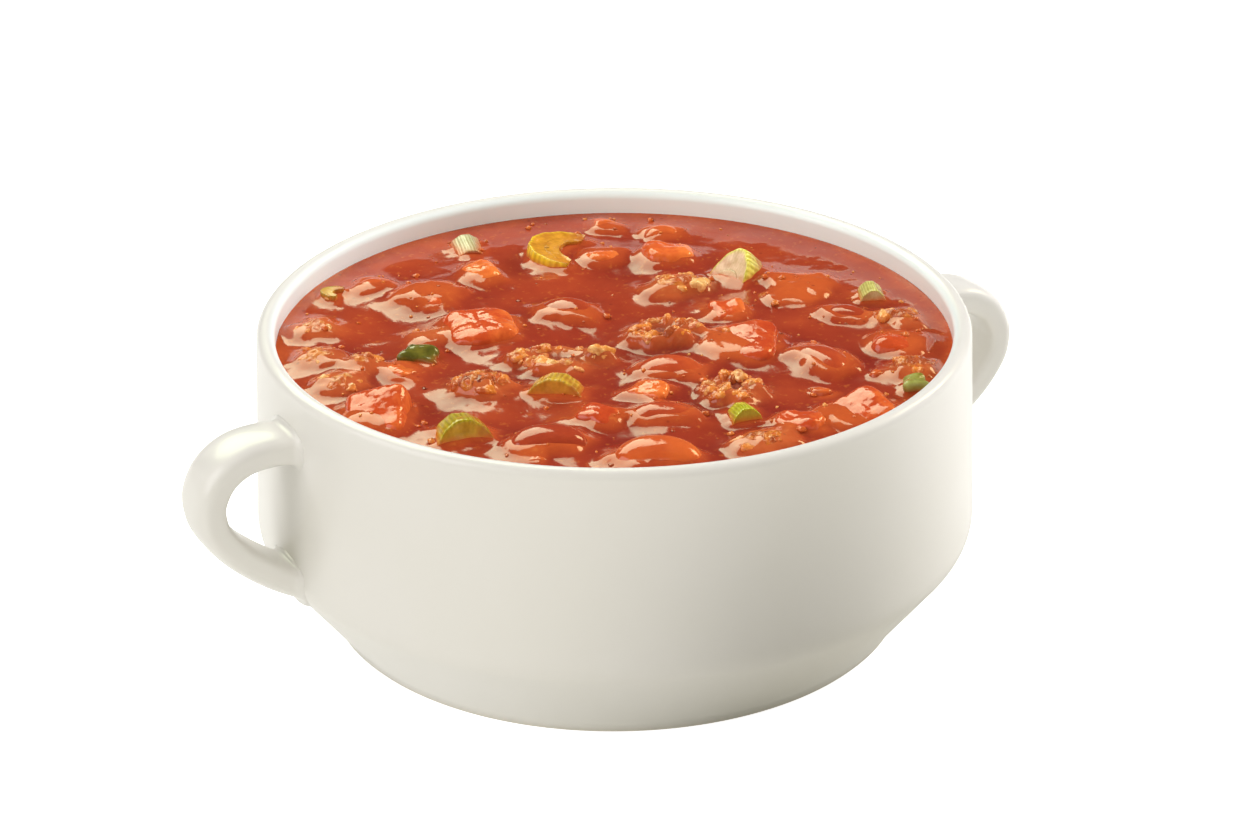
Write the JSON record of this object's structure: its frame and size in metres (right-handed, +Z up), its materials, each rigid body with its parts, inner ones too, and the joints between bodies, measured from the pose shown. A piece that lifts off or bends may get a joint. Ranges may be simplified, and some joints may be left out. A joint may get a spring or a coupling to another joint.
{
  "type": "bowl of chili",
  "caption": "White stoneware soup bowl with loop handles, filled with a chunky tomato chili of beans, diced vegetables and crumbled meat.",
  "frame": {"origin": "on the table, under the middle of the bowl's foot", "axes": "+Z up along the bowl's axis; the two handles lie along X; +Y across them"},
  "size_m": [0.1486, 0.1172, 0.05],
  "materials": {
    "ceramic": "glossy off-white glaze",
    "sauce": "wet, thick tomato sauce",
    "tomato": "wet tomato flesh",
    "bean": "wet bean skin",
    "celery": "wet, ribbed yellow-green stalk",
    "pepper": "wet green skin",
    "meat": "crumbly browned meat, glossy with sauce"
  },
  "bodies": {
    "root": {"bowl": "ceramic", "chili_sauce": "sauce", "tomato_1": "tomato", "tomato_2": "tomato", "tomato_3": "tomato", "tomato_4": "tomato", "tomato_5": "tomato", "tomato_6": "tomato", "tomato_7": "tomato", "tomato_8": "tomato", "tomato_9": "tomato", "tomato_10": "tomato", "tomato_11": "tomato", "tomato_12": "tomato", "tomato_13": "tomato", "tomato_14": "tomato", "tomato_15": "tomato", "tomato_16": "tomato", "bean_1": "bean", "bean_2": "bean", "bean_3": "bean", "bean_4": "bean", "bean_5": "bean", "bean_6": "bean", "bean_7": "bean", "bean_8": "bean", "bean_9": "bean", "celery_1": "celery", "celery_2": "celery", "celery_3": "celery", "celery_4": "celery", "celery_5": "celery", "celery_6": "celery", "celery_7": "celery", "celery_8": "celery", "pepper_1": "pepper", "pepper_2": "pepper", "meat_1": "meat", "meat_2": "meat", "meat_3": "meat", "meat_4": "meat", "meat_5": "meat", "meat_6": "meat", "meat_7": "meat", "meat_8": "meat", "meat_9": "meat", "meat_10": "meat", "meat_11": "meat", "meat_12": "meat", "meat_13": "meat", "bit_1": "tomato", "bit_2": "tomato", "bit_3": "tomato"}
  },
  "joints": []
}
